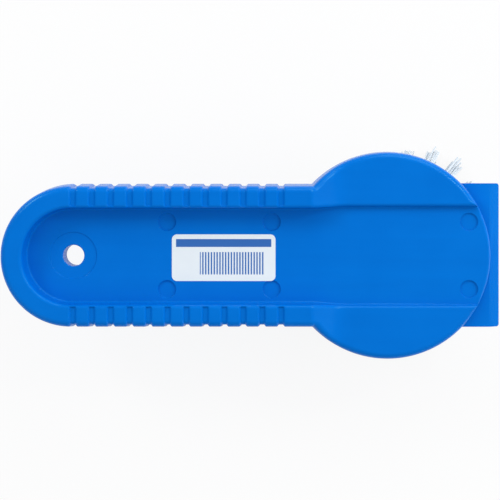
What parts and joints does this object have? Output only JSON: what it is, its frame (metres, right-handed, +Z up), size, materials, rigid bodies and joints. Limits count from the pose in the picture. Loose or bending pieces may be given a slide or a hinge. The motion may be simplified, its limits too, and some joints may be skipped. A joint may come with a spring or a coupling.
{
  "type": "hand scrub brush",
  "caption": "Hand scrub brush: moulded plastic back with a channelled grip, a hanging hole, a round bristled head and a thin scraper blade at its nose.",
  "frame": {"origin": "on the level of the bristle tips, under the middle of the brush's length and width", "axes": "+X from the handle to the scraper along the brush, +Y to the brush's left seen from above with the scraper to the right, +Z up from the bristle tips to the grip"},
  "size_m": [0.1924, 0.0853, 0.046],
  "materials": {
    "moulded_plastic": "satin moulded polypropylene with a faint flow texture",
    "label_film": "smooth coated label",
    "filament": "translucent drawn filament",
    "anchor_wire": "drawn flat wire"
  },
  "bodies": {
    "root": {"brush_back": "moulded_plastic", "label": "label_film", "tufts_ring_1": "filament", "tufts_ring_2": "filament", "tufts_ring_3": "filament", "tufts_ring_4": "filament", "tufts_ring_5": "filament", "anchors_ring_1": "anchor_wire", "anchors_ring_2": "anchor_wire", "anchors_ring_3": "anchor_wire", "anchors_ring_4": "anchor_wire", "anchors_ring_5": "anchor_wire"}
  },
  "joints": []
}
